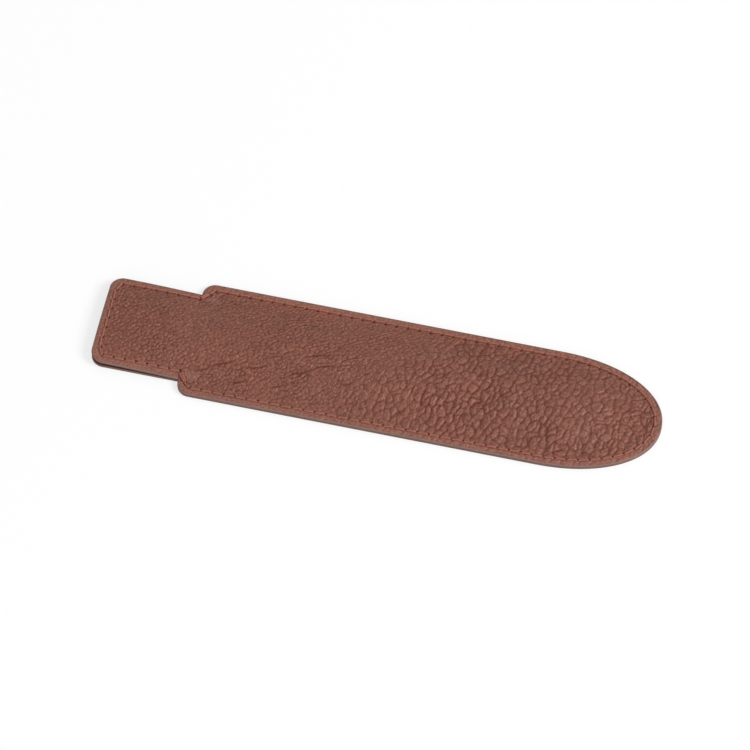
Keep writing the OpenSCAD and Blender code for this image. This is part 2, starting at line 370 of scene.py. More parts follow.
def backstitchLine(side):
    shift = sleeve["backstitchShift"]
    start = np.array([sleeve["mouthX"] + shift, sleeve["tabHalf"] - sleeve["stitchInset"] + shift])
    return np.array([start, seamLine()[0]]) * [1, side]


seamPath = seamLine()
tabPath = tabLine()
shoulderArc = (sleeve["shoulderRadius"] - sleeve["stitchInset"]) * math.pi / 2
seamHoles = needleHoles(seamPath, shoulderArc)
tabHoles = needleHoles(tabPath)


def movedInward(line, distance):
    # The stitch lines run so that the leather's edge is on their left
    run = np.gradient(line, axis=0)
    run /= np.linalg.norm(run, axis=1)[:, None]
    return line + np.column_stack([run[:, 1], -run[:, 0]]) * distance


def distanceTo(points, targets):
    tree = KDTree(len(targets))
    for k, target in enumerate(targets):
        tree.insert((target[0], target[1], 0), k)
    tree.balance()
    found = [tree.find((px, py, 0)) for px, py in points]
    return np.array([f[2] for f in found]), np.array([f[1] for f in found])


def densePath(line, step=0.15):
    total = polylineLengths(line)[-1]
    return alongPolyline(line, np.arange(0, total, step))


# Meshes

def makeMesh(name, vertices, faces, material, attributes=None):
    mesh = bpy.data.meshes.new(name)
    mesh.from_pydata((np.asarray(vertices) / 1000).tolist(), [], faces)
    for key, values in (attributes or {}).items():
        layer = mesh.attributes.new(key, "FLOAT", "POINT")
        layer.data.foreach_set("value", np.asarray(values, np.float32))
    mesh.validate()
    turned = bmesh.new()
    turned.from_mesh(mesh)
    bmesh.ops.recalc_face_normals(turned, faces=turned.faces)
    turned.to_mesh(mesh)
    turned.free()
    mesh.polygons.foreach_set("use_smooth", [True] * len(mesh.polygons))
    mesh.materials.append(material)
    piece = bpy.data.objects.new(name, mesh)
    bpy.context.scene.collection.objects.link(piece)
    return piece


# A closed tube of rings, one after the other, each with the same number of points
def tubeFaces(rings, sides):
    faces = []
    for i in range(rings - 1):
        for k in range(sides):
            a, b = i * sides + k, i * sides + (k + 1) % sides
            faces.append([a, b, b + sides, a + sides])
    faces.append(list(range(sides))[::-1])
    faces.append([(rings - 1) * sides + k for k in range(sides)])
    return faces


def gridFaces(rows, columns, first=0, flip=False):
    i, j = np.meshgrid(np.arange(rows - 1), np.arange(columns - 1), indexing="ij")
    a = (first + i * columns + j).ravel()
    quads = np.column_stack([a, a + columns, a + columns + 1, a + 1])
    return (quads[:, ::-1] if flip else quads).tolist()


# The leaf's half width at each x, as (x, half width) from the tab's end to the tip
def leafRows(step):
    tab = insetBy(tabHalfOutline(step), sleeve["paint"])
    body = insetBy(bodyHalfOutline(step), sleeve["paint"])
    body = np.vstack([[sleeve["mouthX"], sleeve["tabHalf"] - sleeve["paint"]], body])
    tab = tab[tab[:, 0] < sleeve["mouthX"] - 0.01]
    return np.vstack([tab, body])


# Points across the leaf, closer together towards its edges
edgeCrowding = 0.25


def leafGrid(plan):
    rows = leafRows(plan["rowStep"])
    q = np.linspace(-1, 1, plan["columns"])
    x = np.repeat(rows[:, :1], plan["columns"], axis=1)
    y = rows[:, 1:] * (q * (1 + edgeCrowding * (1 - q * q)))[None, :]
    return x.ravel(), y.ravel()


def outlineSamples(step=0.12):
    straight = sleeve["tabHalf"] - sleeve["tabCorner"]
    end = straightPoints((sleeve["tabEndX"], -straight), (sleeve["tabEndX"], straight), (1, 0), step)
    flip = [1, -1]
    parts = zip(tabHalfOutline(step), bodyHalfOutline(step), end)
    return [np.vstack([tab, body, tab * flip, body * flip, front]) for tab, body, front in parts]


def edgeDistance(x, y):
    samples, normals = outlineSamples()
    distance, index = distanceTo(zip(x, y), samples)
    straight = np.einsum("ij,ij->i", np.column_stack([x, y]) - samples[index], normals[index])
    return np.minimum(distance, np.abs(straight))


# A slab between two heights: a dense face that shows, side walls and a plain hidden face. The number of
# columns is a multiple of hiddenEvery and one more, because the hidden face has only every so many of them.
def slabMesh(name, plan, shown, hidden, material, attributes, shownIsTop):
    x, y = leafGrid(plan)
    columns = plan["columns"]
    rowCount = len(x) // columns
    keep = np.arange(0, columns, plan["hiddenEvery"])
    hx, hy = [c.reshape(rowCount, columns)[:, keep].ravel() for c in (x, y)]
    vertices = np.vstack([np.column_stack([x, y, shown]), np.column_stack([hx, hy, hidden(hx, hy)])])
    base, few = rowCount * columns, len(keep)
    faces = gridFaces(rowCount, columns, 0, not shownIsTop)
    faces += gridFaces(rowCount, few, base, shownIsTop)
    for i in range(rowCount - 1):
        a, b = i * columns, (i + 1) * columns
        c, d = base + i * few, base + (i + 1) * few
        right = [a + columns - 1, b + columns - 1, d + few - 1, c + few - 1]
        left = [b, a, c, d]
        faces += [right[::-1], left[::-1]] if not shownIsTop else [right, left]
    for row, turn in ((0, False), (rowCount - 1, True)):
        for k in range(few - 1):
            shownEdge = [row * columns + j for j in range(keep[k], keep[k + 1] + 1)]
            hiddenEdge = [base + row * few + k + 1, base + row * few + k]
            loop = shownEdge + hiddenEdge
            faces.append(loop[::-1] if turn == shownIsTop else loop)
    if attributes:
        attributes = {key: np.concatenate([v, np.zeros(len(hx))]) for key, v in attributes.items()}
    return makeMesh(name, vertices, faces, material, attributes)


# Shader helpers

def addNode(tree, kind, place, **settings):
    node = tree.nodes.new(kind)
    node.location = place
    for key, value in settings.items():
        setattr(node, key, value)
    return node


# A group, the sockets of its input and output nodes, and the place on the object
def newGroup(name, inputs, outputs):
    group = bpy.data.node_groups.new(name, "ShaderNodeTree")
    labels = [(label, "INPUT") for label in inputs] + [(label, "OUTPUT") for label in outputs]
    for label, side in labels:
        kind = "NodeSocketColor" if label == "Colour" else "NodeSocketFloat"
        socket = group.interface.new_socket(label, in_out=side, socket_type=kind)
        if side == "INPUT":
            socket.default_value = inputs[label]
    where = addNode(group, "ShaderNodeTexCoord", (-900, -300)).outputs["Object"]
    source = addNode(group, "NodeGroupInput", (-900, 0))
    return group, source.outputs, addNode(group, "NodeGroupOutput", (900, 0)).inputs, where


def useGroup(tree, group, place, values):
    node = addNode(tree, "ShaderNodeGroup", place, node_tree=group)
    feed(tree, node, values)
    return node


def attributeFactor(tree, name, place):
    return addNode(tree, "ShaderNodeAttribute", place, attribute_name=name).outputs["Fac"]


# Each value is either another node's output, which is linked, or a plain value, which is set
def feed(tree, node, values):
    for key, value in values.items():
        if isinstance(value, bpy.types.NodeSocket):
            tree.links.new(value, node.inputs[key])
        else:
            node.inputs[key].default_value = value


def mixColour(tree, place, factor, first, second):
    node = addNode(tree, "ShaderNodeMix", place, data_type="RGBA", blend_type="MIX")
    feed(tree, node, {0: factor, 6: first, 7: second})
    return node.outputs[2]


def mathNode(tree, place, operation, first, second=0.0, clamp=False):
    node = addNode(tree, "ShaderNodeMath", place, operation=operation, use_clamp=clamp)
    feed(tree, node, {0: first, 1: second})
    return node.outputs[0]


def noiseNode(tree, place, coordinates, scale, detail, roughness):
    node = addNode(tree, "ShaderNodeTexNoise", place)
    feed(tree, node, {"Vector": coordinates, "Scale": scale, "Detail": detail, "Roughness": roughness})
    return node.outputs["Fac"]


def srgb(red, green, blue):
    channels = [c / 255 for c in (red, green, blue)]
    return tuple(c / 12.92 if c <= 0.04045 else ((c + 0.055) / 1.055) ** 2.4 for c in channels) + (1.0,)


# A noise texture keeps close to its middle, so its swing is widened
noiseMiddle = 0.5
noiseGain = 4.0


# Cloudy change of tone and shine, used by every finish
def mottleGroup():
    group, source, sink, where = newGroup(
        "surfaceMottle",
        {"Colour": (0.5, 0.5, 0.5, 1), "Scale": 90.0, "Amount": 0.15, "Fine Scale": 1000.0,
         "Fine Amount": 0.06, "Roughness": 0.5, "Shine Change": 0.1},
        ("Colour", "Roughness"))
    broad = noiseNode(group, (-600, 200), where, source["Scale"], 3.0, 0.6)
    small = noiseNode(group, (-600, -200), where, source["Fine Scale"], 2.0, 0.7)
    centred = mathNode(group, (-400, 200), "SUBTRACT", broad, noiseMiddle)
    fine = mathNode(group, (-400, -200), "SUBTRACT", small, noiseMiddle)
    swing = mathNode(group, (-250, 200), "MULTIPLY", centred, source["Amount"])
    flecks = mathNode(group, (-250, -100), "MULTIPLY", fine, source["Fine Amount"])
    both = mathNode(group, (-100, 50), "ADD", swing, flecks)
    wider = mathNode(group, (-20, 50), "MULTIPLY", both, noiseGain)
    bright = mathNode(group, (50, 50), "ADD", wider, 1.0)
    tone = addNode(group, "ShaderNodeHueSaturation", (200, 100))
    feed(group, tone, {"Value": bright, "Color": source["Colour"]})
    change = mathNode(group, (0, -300), "MULTIPLY", source["Shine Change"], noiseGain)
    shine = mathNode(group, (200, -200), "MULTIPLY", centred, change)
    shine = mathNode(group, (400, -200), "ADD", shine, source["Roughness"], True)
    group.links.new(tone.outputs["Color"], sink["Colour"])
    group.links.new(shine, sink["Roughness"])
    return group


# Pores and hair-fine creases as a height, used by the leather and the edge paint
def poreGroup():
    group, source, sink, where = newGroup(
        "finePores",
        {"Pore Scale": 2200.0, "Pore Depth": 0.6, "Dust Scale": 5200.0, "Dust Height": 0.4},
        ("Height",))
    cells = addNode(group, "ShaderNodeTexVoronoi", (-500, 200), feature="SMOOTH_F1")
    feed(group, cells, {"Vector": where, "Scale": source["Pore Scale"]})
    dust = noiseNode(group, (-500, -200), where, source["Dust Scale"], 2.0, 0.6)
    pores = mathNode(group, (-200, 200), "MULTIPLY", cells.outputs["Distance"], source["Pore Depth"])
    grit = mathNode(group, (-200, -200), "MULTIPLY", dust, source["Dust Height"])
    group.links.new(mathNode(group, (200, 0), "ADD", pores, grit), sink["Height"])
    return group


# Short soft fibres, used by the lining and the thread
def fibreGroup():
    group, source, sink, where = newGroup(
        "softFibres",
        {"Fibre Scale": 2600.0, "Stretch": 3.0, "Contrast": 1.6},
        ("Height", "Mask"))
    shortening = mathNode(group, (-1050, 100), "DIVIDE", 1.0, source["Stretch"])
    longer = addNode(group, "ShaderNodeCombineXYZ", (-900, 100))
    feed(group, longer, {"X": shortening, "Y": 1.0, "Z": 1.0})
    scaled = addNode(group, "ShaderNodeVectorMath", (-700, 0), operation="MULTIPLY")
    feed(group, scaled, {0: where, 1: longer.outputs["Vector"]})
    strands = noiseNode(group, (-500, 0), scaled.outputs["Vector"], source["Fibre Scale"], 3.0, 0.7)
    centred = mathNode(group, (-300, 0), "SUBTRACT", strands, noiseMiddle)
    stronger = mathNode(group, (-200, 0), "MULTIPLY", centred, source["Contrast"])
    mask = mathNode(group, (-100, 0), "ADD", stronger, noiseMiddle, True)
    group.links.new(mask, sink["Mask"])
    group.links.new(strands, sink["Height"])
    return group


surfaceMottle = mottleGroup()
finePores = poreGroup()
softFibres = fibreGroup()
print("shader groups made")


def newMaterial(name):
    material = bpy.data.materials.new(name)
    material.use_nodes = True
    tree = material.node_tree
    shader = tree.nodes["Principled BSDF"]
    shader.location = (600, 0)
    tree.nodes["Material Output"].location = (900, 0)
    return material, tree, shader


def bumpInto(tree, shader, height, distance, strength):
    bump = addNode(tree, "ShaderNodeBump", (350, -400))
    feed(tree, bump, {"Distance": distance / 1000, "Strength": strength, "Height": height})
    tree.links.new(bump.outputs["Normal"], shader.inputs["Normal"])


# The finish's tone goes through the mottle, which gives the shader its colour and shine
def mottled(tree, shader, tone, finish):
    mottle = useGroup(tree, surfaceMottle, (-100, 200), {
        "Colour": tone, "Scale": finish["cloudScale"], "Amount": finish["cloudAmount"],
        "Roughness": finish["roughness"]})
    feed(tree, shader, {"Base Color": mottle.outputs["Colour"], "Roughness": mottle.outputs["Roughness"]})
    for label, name in (("Specular IOR Level", "specular"), ("Sheen Weight", "sheen")):
        if name in finish:
            shader.inputs[label].default_value = finish[name]
    return mottle


def poresInto(tree, shader, finish):
    pores = useGroup(tree, finePores, (0, -400), {"Pore Scale": finish["poreScale"]})
    bumpInto(tree, shader, pores.outputs["Height"], finish["poreDepth"], finish["poreStrength"])


leatherFinish = {
    "base": srgb(127, 78, 62),
    # The crease colour is painted shade in the creases, the groove under the stitches, the dent round the
    # doubled stitches and the wrinkles, partly also the dye that gathers in creases
    "crease": srgb(86, 32, 18),
    # The lighter colour on the pebbles' rims: partly rubbed wear, partly a painted highlight
    "rimWearAndPaintedHighlight": srgb(170, 116, 99),
    "margin": srgb(143, 97, 83),
    # Painted shade, nearly black, in the needle holes
    "needleHoleShade": srgb(20, 8, 6),
    "creaseAmount": 0.98,
    "rimWearAndPaintedHighlightAmount": 0.58,
    "marginAmount": 0.6,
    "roughness": 0.44,
    "specular": 0.3,
    "creaseDullness": 0.2,     # added to the roughness in a crease
    "cloudScale": 110.0,       # broad change of tone, per metre
    "cloudAmount": 0.08,
    "fleckScale": 1500.0,      # light and dark flecks, per metre
    "fleckAmount": 0.38,
    "poreScale": 1700.0,
    "poreDepth": 0.22,
    "poreStrength": 0.8,
}


def pebbledLeather():
    material, tree, shader = newMaterial("pebbledLeather")
    tone, masks = leatherFinish["base"], {}
    # The rim colour is partly a painted highlight and the crease colour partly painted shade; the margin is
    # the lighter leather outside the stitches
    for step, name in enumerate(("rimWearAndPaintedHighlight", "crease", "margin")):
        mask = attributeFactor(tree, name, (-1100, 300 - 200 * step))
        amount = leatherFinish[name + "Amount"]
        masks[name] = mathNode(tree, (-900, 300 - 200 * step), "MULTIPLY", mask, amount, True)
        tone = mixColour(tree, (-600 + 150 * step, 200), masks[name], tone, leatherFinish[name])
    mottle = mottled(tree, shader, tone, leatherFinish)
    flecks = {"Fine Scale": leatherFinish["fleckScale"], "Fine Amount": leatherFinish["fleckAmount"]}
    feed(tree, mottle, flecks)
    # The needle holes are painted nearly black, as painted shade
    needleHoleShade = attributeFactor(tree, "needleHoleShade", (0, 400))
    dark = mixColour(tree, (200, 200), needleHoleShade, mottle.outputs["Colour"], leatherFinish["needleHoleShade"])
    duller = mathNode(tree, (200, 0), "MULTIPLY", masks["crease"], leatherFinish["creaseDullness"])
    shine = mathNode(tree, (350, 0), "ADD", mottle.outputs["Roughness"], duller, True)
    feed(tree, shader, {"Base Color": dark, "Roughness": shine})
    poresInto(tree, shader, leatherFinish)
    return material


liningFinish = {
    "dark": srgb(66, 42, 34),
    "light": srgb(92, 62, 51),
    "roughness": 0.95,
    "specular": 0.2,
    "sheen": 0.08,
    "cloudScale": 70.0,
    "cloudAmount": 0.16,
    "nap": 0.06,
    "napStrength": 0.9,
}


def microfibreLining():
    material, tree, shader = newMaterial("microfibreLining")
    fibres = useGroup(tree, softFibres, (-600, 0), {})
    tone = mixColour(tree, (-400, 200), fibres.outputs["Mask"], liningFinish["dark"], liningFinish["light"])
    mottled(tree, shader, tone, liningFinish)
    bumpInto(tree, shader, fibres.outputs["Height"], liningFinish["nap"], liningFinish["napStrength"])
    return material


paintFinish = {
    "base": srgb(132, 99, 90),
    # A painted highlight on the bead's face and arris, stronger on the upper arris than the lower
    "paintedArrisHighlight": srgb(140, 109, 101),
    "paintedArrisHighlightAmount": 0.8,
    "roughness": 0.5,
    "specular": 0.22,
    "cloudScale": 160.0,
    "cloudAmount": 0.12,
    "poreScale": 1500.0,
    "poreDepth": 0.04,
    "poreStrength": 0.6,
}


def edgePaint():
    material, tree, shader = newMaterial("edgePaint")
    # The arris attribute says how much painted highlight each part of the bead gets
    arris = attributeFactor(tree, "arris", (-900, 200))
    paintedArrisHighlight = mathNode(tree, (-700, 200), "MULTIPLY", arris, paintFinish["paintedArrisHighlightAmount"], True)
    tone = mixColour(tree, (-400, 200), paintedArrisHighlight, paintFinish["base"], paintFinish["paintedArrisHighlight"])
    mottled(tree, shader, tone, paintFinish)
    poresInto(tree, shader, paintFinish)
    return material


threadFinish = {
    "base": srgb(150, 79, 61),
    "light": srgb(180, 105, 85),
    "groove": srgb(112, 50, 38),      # painted shade between the plies
    "roughness": 0.55,
    "sheen": 0.15,
    "cloudScale": 200.0,
    "cloudAmount": 0.12,
    "fibreScale": 4200.0,
    "fuzz": 0.03,
    "fuzzStrength": 0.8,
}


def sewingThread():
    material, tree, shader = newMaterial("sewingThread")
    fibres = useGroup(tree, softFibres, (-600, 0), {"Fibre Scale": threadFinish["fibreScale"]})
    tone = mixColour(tree, (-400, 200), fibres.outputs["Mask"], threadFinish["base"], threadFinish["light"])
    # The ply attribute paints shade into the grooves between the plies
    ply = attributeFactor(tree, "ply", (-450, 400))
    tone = mixColour(tree, (-250, 200), ply, tone, threadFinish["groove"])
    mottled(tree, shader, tone, threadFinish)
    bumpInto(tree, shader, fibres.outputs["Height"], threadFinish["fuzz"], threadFinish["fuzzStrength"])
    return material


leatherMaterial = pebbledLeather()
liningMaterial = microfibreLining()
paintMaterial = edgePaint()
threadMaterial = sewingThread()
print("materials made")


# The two outer leathers, each one skin from the tab's end to the round end
frontSkin = {
    "rowStep": 0.22,
    "columns": 196,
    "hiddenEvery": 15,
    "deepest": 0.36,           # no pebble's crease goes deeper than this
    "lift": 0.06,              # raises the pebbles, so that the leather keeps its mean height
    "unevenDepth": 0.05,
    "unevenSize": 6.0,
    "marginWidth": 2.0,        # strip outside the stitches, where the pebbles are flatter
    "marginFade": 1.6,
    "marginCalm": 0.3,
    "edgeRoundWidth": 1.3,     # where the leather curves down to its painted edge
    "edgeRoundDrop": 0.24,
    "stitchValley": 0.1,
    "valleyWidth": 0.6,
    "valleyShade": 0.12,       # painted shade in the groove under the stitches
    "valleyCalm": 0.75,
    "besideWidth": 2.5,        # the pebbles are a little flatter beside the stitches too
    "besideCalm": 0.25,
    "dentFrom": 0.75,          # painted shade in the dent round the doubled stitches, from their middle
    "dentWidth": 0.25,
    "dentShade": 0.6,
    "dentDepth": 0.1,
    "holeRadius": 0.45,
    "holeDepth": 0.45,
    "holeInward": 0.16,        # the needle holes show on the inner side of the thread
    "patternShift": 0.0,
}
backSkin = dict(frontSkin, rowStep=0.3, columns=151, patternShift=173.0, stitchValley=0.34, holeDepth=0.2,
                lift=0.0, restGap=0.09)


# The height of the leather's face over the plain leaf, and the masks that colour it
def skinSurface(x, y, skin, wrinkled):
    points = np.column_stack([x, y])
    fromEdge = edgeDistance(x, y)
    backLines = np.vstack([densePath(backstitchLine(1)), densePath(backstitchLine(-1))])
    fromBackstitch, _ = distanceTo(points, backLines)
    fromStitches, _ = distanceTo(points, np.vstack([densePath(seamPath), densePath(tabPath), backLines]))
    holes = np.vstack([movedInward(row, skin["holeInward"]) for row in (seamHoles, tabHoles)])
    fromHole, _ = distanceTo(points, holes)
    height, crease, rimWearAndPaintedHighlight = leatherRelief(x, y, skin["patternShift"])
    margin = 1 - smoothShare((fromEdge - skin["marginWidth"]) / skin["marginFade"])
    valley = np.exp(-(fromStitches / skin["valleyWidth"]) ** 2)
    beside = np.exp(-(fromStitches / skin["besideWidth"]) ** 2)
    dent = skin["dentShade"] * np.exp(-((fromBackstitch - skin["dentFrom"]) / skin["dentWidth"]) ** 2)
    calm = 1 - skin["marginCalm"] * margin
    calm = calm * (1 - skin["valleyCalm"] * valley) * (1 - skin["besideCalm"] * beside)
    pit = np.exp(-(fromHole / skin["holeRadius"]) ** 4)
    drop = skin["edgeRoundDrop"] * np.clip(1 - fromEdge / skin["edgeRoundWidth"], 0, 1) ** 2
    relief = np.maximum(height * calm, -skin["deepest"]) + skin["lift"] * calm * (1 - margin)
    relief -= skin["dentDepth"] * dent + skin["stitchValley"] * valley + skin["holeDepth"] * pit + drop
    relief += skin["unevenDepth"] * valueNoise(x, y, skin["unevenSize"], 91)
    if wrinkled:
        pressed = wrinkleDepth(x, y)
        relief -= np.minimum(pressed, np.maximum(relief + wrinkles["floor"], 0))
        # Painted shade in each wrinkle, through the crease mask, and no painted highlight on its pebbles'
        # rims
        crease = np.maximum(crease, wrinkles["tone"] * pressed)
        rimWearAndPaintedHighlight = rimWearAndPaintedHighlight * (1 - np.clip(wrinkles["tone"] * pressed, 0, 1))
    # Painted light in the masks: the crease mask is painted shade in the creases, the stitch groove, the
    # dent and the wrinkles; the rim mask is partly a painted highlight; the hole mask is painted shade in
    # the needle holes
    masks = {
        "crease": crease * calm + skin["valleyShade"] * valley + dent,
        "rimWearAndPaintedHighlight": rimWearAndPaintedHighlight * calm,
        "margin": margin,
        "needleHoleShade": pit,
    }
    return relief, {name: np.clip(mask, 0, 1) for name, mask in masks.items()}


def backBond(x, y):
    return np.full_like(x, sleeve["leather"])


def makeFrontSkin():
    x, y = leafGrid(frontSkin)
    relief, masks = skinSurface(x, y, frontSkin, True)
    outside = frontTop(x, y) + relief
    piece = slabMesh("front_leather_skin", frontSkin, outside, frontBond, leatherMaterial, masks, True)
    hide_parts("front_leather", "front_tab_leather")
    return piece


def makeBackSkin():
    x, y = leafGrid(backSkin)
    relief, masks = skinSurface(x, y, backSkin, False)
    # The underside rests on the table on its highest pebbles
    outside = np.maximum(0.0, backSkin["restGap"] - relief)
    piece = slabMesh("back_leather_skin", backSkin, outside, backBond, leatherMaterial, masks, False)
    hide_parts("back_leather", "back_tab_leather")
    return piece


frontLeather = makeFrontSkin()
backLeather = makeBackSkin()
print("leather skins made:", len(frontLeather.data.vertices) + len(backLeather.data.vertices), "points")


# The linings, thinner slabs bonded to the inside of each leather
lining = {"rowStep": 0.9, "columns": 61, "hiddenEvery": 5, "fuzz": 0.02, "fuzzSize": 1.3}


def makeLinings():
    x, y = leafGrid(lining)
    fuzz = np.abs(lining["fuzz"] * 2 * valueNoise(x, y, lining["fuzzSize"], 55))
    inside = frontInside(x, y) + fuzz
    front = slabMesh("front_lining_cloth", lining, inside, frontBond, liningMaterial, None, False)
    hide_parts("front_lining", "front_tab_lining")
    inside = sleeve["leaf"] - fuzz
    back = slabMesh("back_lining_cloth", lining, inside, backBond, liningMaterial, None, True)
    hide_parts("back_lining", "back_tab_lining")
    return front, back


frontLining, backLining = makeLinings()
print("linings made")


# Edge paint: a rounded bead swept round each cut edge
edgeBead = {
    "step": 0.35,
    "lip": 0.38,         # how far the paint laps over the leather's face
    "lipRise": 0.12,     # how high the lip stands over the rounded leather
    "faceRise": 0.08,
    "arris": 0.28,       # radius where face and side meet
    "arcSteps": 5,
    "seamNotch": 0.05,   # line between the two leaves on the sewn edge
    "seamGap": 0.1,      # half of that line's width
    "seamReach": 0.25,   # from its middle to where the side stands out most
    "seamBulge": 0.02,
    "leafBulge": 0.03,   # how far the side of a single leaf stands out
    "clearance": 0.02,   # between the table and the paint
    "lowerDrop": 0.1,    # the lower tab leaf's inner face is hardly rounded
}


# The bead's outline as (inset, height, share of painted highlight), from the top lip round to the bottom lip
def beadProfile(low, high, notch, drop):
    radius = min(edgeBead["arris"], (high - low) / 3)
    top = high - drop
    lip, bulge, gap, reach = [edgeBead[name] for name in ("lip", "seamBulge", "seamGap", "seamReach")]
    face, steps = top + edgeBead["faceRise"], edgeBead["arcSteps"]
    angles = [math.radians(90 * k / steps) for k in range(steps + 1)]
    arc = [(radius * (1 - math.sin(angle)), radius * (1 - math.cos(angle))) for angle in angles]
    profile = [(lip, top + edgeBead["lipRise"] - 0.01, 0.0), (lip * 0.8, top + edgeBead["lipRise"], 0.2)]
    profile += [(inward, face - down, 1.0) for inward, down in arc]
    middle = (low + high) / 2
    if notch:
        profile += [(-bulge, middle + reach, 0.3), (0.0, middle + gap, 0.1),
                    (edgeBead["seamNotch"], middle, 0.0),
                    (0.0, middle - gap, 0.1), (-bulge, middle - reach, 0.3)]
    else:
        profile += [(-edgeBead["leafBulge"], middle + away, 0.3) for away in (gap, -gap)]
    profile += [(inward, low + up, 0.6) for up, inward in arc]
    profile.append((lip, low, 0.0))
    return profile


def sweepBead(name, outline, profile, baseHeight, material):
    points, normals = outline
    vertices = []
    for inset, height, _ in profile:
        ring = points + normals * inset
        base = baseHeight(ring[:, 0], ring[:, 1])
        vertices.append(np.column_stack([ring, base + height]))
    vertices = np.stack(vertices, axis=1).reshape(-1, 3)
    paintedArrisHighlight = np.tile([paintedHighlightShare for _, _, paintedHighlightShare in profile], len(points))
    piece = makeMesh(name, vertices, tubeFaces(len(points), len(profile)), material, {"arris": paintedArrisHighlight})
    return piece


def tabOutline(step):
    straight = sleeve["tabHalf"] - sleeve["tabCorner"]
    end = straightPoints((sleeve["tabEndX"], straight), (sleeve["tabEndX"], -straight), (1, 0), step)
    parts = zip(tabHalfOutline(step), end)
    return [np.vstack([side[::-1], front[1:-1], side * [1, -1]]) for side, front in parts]


def bodyOutline(step):
    points, normals = bodyHalfOutline(step)
    start = straightPoints((sleeve["mouthX"], sleeve["tabHalf"]), points[0], (1, 0), sleeve["lineStep"])
    half = np.vstack([start[0][:-1], points]), np.vstack([start[1][:-1], normals])
    return [np.vstack([part, part[::-1] * [1, -1]]) for part in half]


def makeEdges():
    step, lowest = edgeBead["step"], edgeBead["clearance"]
    leaf, drop = sleeve["leaf"], frontSkin["edgeRoundDrop"]
    sewn = beadProfile(lowest, 2 * leaf, True, drop)
    body = sweepBead("body_edge_bead", bodyOutline(step), sewn, atHeight(0.0), paintMaterial)
    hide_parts("body_edge_paint")
    upper = beadProfile(0.0, leaf, False, drop)
    front = sweepBead("front_tab_edge_bead", tabOutline(step), upper, frontInside, paintMaterial)
    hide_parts("front_tab_edge_paint")
    lower = beadProfile(lowest, leaf, False, edgeBead["lowerDrop"])
    back = sweepBead("back_tab_edge_bead", tabOutline(step), lower, atHeight(0.0), paintMaterial)
    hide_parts("back_tab_edge_paint")
    return body, front, back


bodyEdge, frontTabEdge, backTabEdge = makeEdges()
print("painted edges made")


# Threads: each stitch is a twisted three-ply strand that dives into the needle holes at its ends
topThread = {
    "diameter": 0.62,
    "plies": 3,
    "plyDepth": 0.13,
    "plyShade": 0.6,         # how dark the grooves between the plies are
    "twistLength": 2.6,
    "twistShift": 1.7,       # turn of the twist from one stitch to the next, in radians
    "sides": 12,
    "rings": 25,
    "endCrowding": 0.75,     # less than 1 puts more rings towards the ends
    "reach": 0.97,           # share of the way between the holes
    "show": 2.75,            # length that lies on top
    "mostShown": 0.9,        # at most this share of a stitch
    "dive": 0.5,
    "diveFrom": 0.82,        # share of the shown length after which the strand goes down
    "divePower": 1.6,
    "bedding": 0.45,         # height of its middle, as a share of its radius
    "ride": 0.1,             # added to that height
    "sag": 0.18,
    "slant": 0.1,
    "outward": 0.1,
}
bottomThread = dict(topThread, diameter=0.3, sides=10, rings=17, ride=0.02, dive=0.25, slant=0.08)
backstitch = dict(topThread, diameter=0.7, ride=0.27, slant=0.0, outward=0.0, show=2.7)

# The two strands of the stitch at each shoulder, and the bottom thread's height in the back leaf
doubled = {"beside": 0.36, "spread": 0.6, "stagger": 0.1}
grooveHeight = 0.26


def strandRings(first, second, surface, thread, side):
    # Points along one stitch from one needle hole to the next, with the height of its middle
    gap = second - first
    length = np.linalg.norm(gap)
    run = gap / length
    beside = np.array([-run[1], run[0]])
    t = np.linspace(-1, 1, thread["rings"])
    t = np.sign(t) * np.abs(t) ** thread["endCrowding"]
    offset = beside * thread["slant"]
    middle = (first + second) / 2 + beside * thread["outward"]
    centre = middle + np.outer(t * length / 2 * thread["reach"], run) + np.outer(t, offset)
    onTop = min(thread["show"] / length, thread["mostShown"]) * thread["diveFrom"]
    down = np.clip((np.abs(t) - onTop) / (1 - onTop), 0, 1) ** thread["divePower"]
    radius = thread["diameter"] / 2
    lift = (radius * thread["bedding"] + thread["ride"]) * (1 - thread["sag"] * t ** 2)
    lift -= (thread["dive"] + radius) * down
    z = surface(centre[:, 0], centre[:, 1]) + side * lift
    return np.column_stack([centre, z])


def strandMesh(line, thread, phase):
    tangents = np.gradient(line, axis=0)
    tangents /= np.linalg.norm(tangents, axis=1)[:, None]
    sideways = np.column_stack([-tangents[:, 1], tangents[:, 0], np.zeros(len(line))])
    sideways /= np.linalg.norm(sideways, axis=1)[:, None]
    upwards = np.cross(tangents, sideways)
    lengths = polylineLengths(line)
    angles = np.linspace(0, 2 * math.pi, thread["sides"], endpoint=False)
    radius = thread["diameter"] / 2
    vertices, ply = [], []
    for k in range(len(line)):
        turn = 2 * math.pi * lengths[k] / thread["twistLength"] + phase
        lobes = np.cos(thread["plies"] * (angles - turn))
        size = radius * (1 - thread["plyDepth"] + thread["plyDepth"] * lobes)
        vertices.append(line[k] + np.outer(size * np.cos(angles), sideways[k])
                        + np.outer(size * np.sin(angles), upwards[k]))
        ply.append(np.clip(0.5 - lobes, 0, 1) * thread["plyShade"])
    return np.vstack(vertices), tubeFaces(len(line), thread["sides"]), np.concatenate(ply)


# side is 1 where the thread lies on top of its surface and -1 where it hangs under it
def makeRow(name, node, lines, thread, surface, side):
    vertices, faces, ply, first = [], [], [], 0
    for number, (start, end) in enumerate(lines):
        line = strandRings(np.array(start), np.array(end), surface, thread, side)
        v, f, p = strandMesh(line, thread, number * thread["twistShift"])
        vertices.append(v)
        ply.append(p)
        faces += [[index + first for index in face] for face in f]
        first += len(v)
    piece = makeMesh(name, np.vstack(vertices), faces, threadMaterial, {"ply": np.concatenate(ply)})
    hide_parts(node)
    return piece


def stitchesBetween(holes):
    return list(zip(holes[:-1], holes[1:]))


